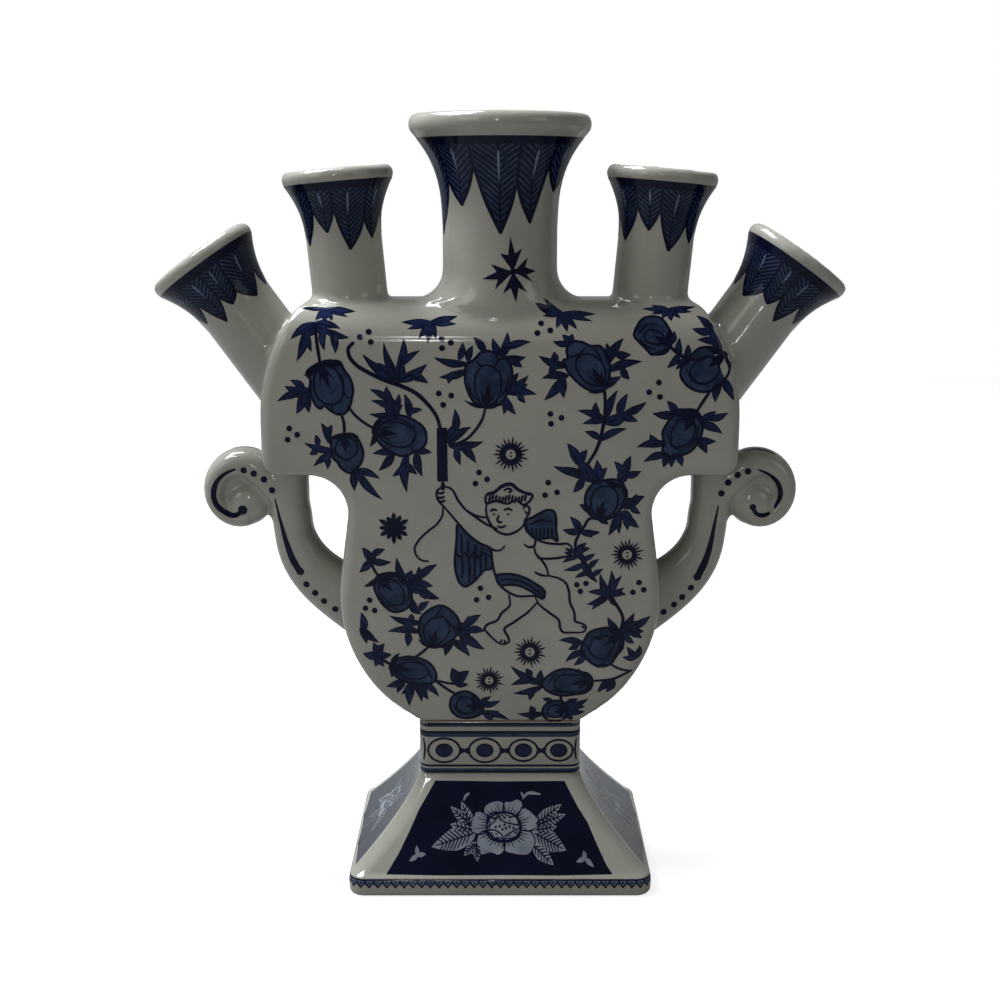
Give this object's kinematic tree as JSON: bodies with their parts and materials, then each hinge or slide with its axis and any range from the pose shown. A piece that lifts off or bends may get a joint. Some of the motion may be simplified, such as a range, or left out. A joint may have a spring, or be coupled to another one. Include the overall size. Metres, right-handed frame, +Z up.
{
  "type": "tulip vase",
  "caption": "Flat hollow flower vase on a flared foot, with a fan of trumpet spouts along the shoulder and a scroll handle each side.",
  "frame": {"origin": "on the ground, under the middle of the foot", "axes": "+Z up, front of the vase towards -Y, fan of spouts spread along X"},
  "size_m": [0.2102, 0.07, 0.2357],
  "materials": {
    "white_glaze": "clear glossy glaze over a white body, with underglaze cobalt painting",
    "cobalt_glaze": "solid dark cobalt panels under a clear glossy glaze, with white borders"
  },
  "bodies": {
    "root": {"body_front": "white_glaze", "body_back": "white_glaze", "centre_spout": "white_glaze", "inner_left_spout": "white_glaze", "inner_right_spout": "white_glaze", "outer_left_spout": "white_glaze", "outer_right_spout": "white_glaze", "left_handle": "white_glaze", "right_handle": "white_glaze", "collar": "white_glaze", "water_chamber_floor": "white_glaze", "foot": "cobalt_glaze"}
  },
  "joints": []
}
